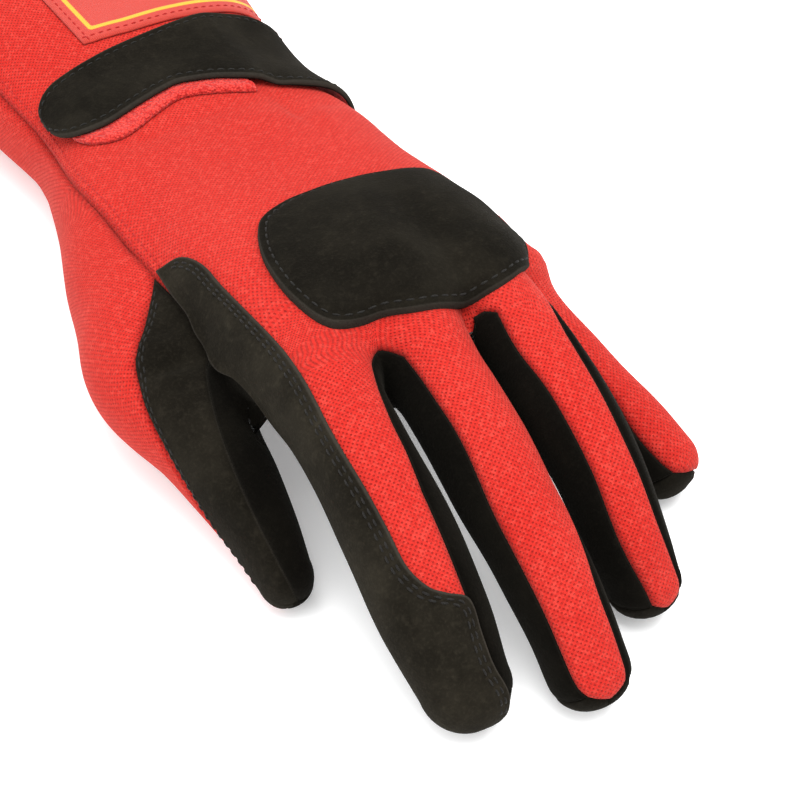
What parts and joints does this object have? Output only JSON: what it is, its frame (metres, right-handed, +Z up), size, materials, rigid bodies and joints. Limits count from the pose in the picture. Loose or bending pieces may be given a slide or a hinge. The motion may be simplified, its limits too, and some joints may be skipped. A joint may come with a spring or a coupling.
{
  "type": "racing glove",
  "caption": "Left-hand gauntlet racing glove lying palm down, with red knit back, black suede palm, finger and thumb patches, raised knuckle pad and wrist strap.",
  "frame": {"origin": "centre of the bounding box in plan, at the height of the surface the glove lies on", "axes": "+Y runs from the fingertips to the gauntlet mouth, +Z is up out of the back of the glove, +X is the little-finger side"},
  "size_m": [0.116, 0.2868, 0.0589],
  "materials": {
    "red_knit": "fine red knit over foam, matt",
    "black_suede": "black suede leather, matt",
    "red_knit_under": "fine red knit over foam, matt",
    "black_suede_thumb": "black suede leather, matt",
    "dark_suede": "dark suede leather, matt",
    "black_suede_patch": "black suede leather with a cut edge, matt",
    "strap_suede": "black suede leather strap, matt",
    "red_loop_tape": "red loop tape, napped",
    "red_label": "bare red woven patch with a thin yellow border line"
  },
  "bodies": {
    "root": {"back_panel": "red_knit", "palm_panel": "black_suede", "gauntlet_panel": "red_knit_under", "thumb_upper_patch": "black_suede_thumb", "thumb_inner_patch": "dark_suede", "fourchette_index_middle": "dark_suede", "fourchette_middle_ring": "dark_suede", "fourchette_ring_little": "dark_suede", "index_patch": "black_suede_patch", "knuckle_pad": "black_suede_patch", "wrist_strap": "strap_suede", "loop_tape": "red_loop_tape", "label_patch": "red_label"}
  },
  "joints": []
}
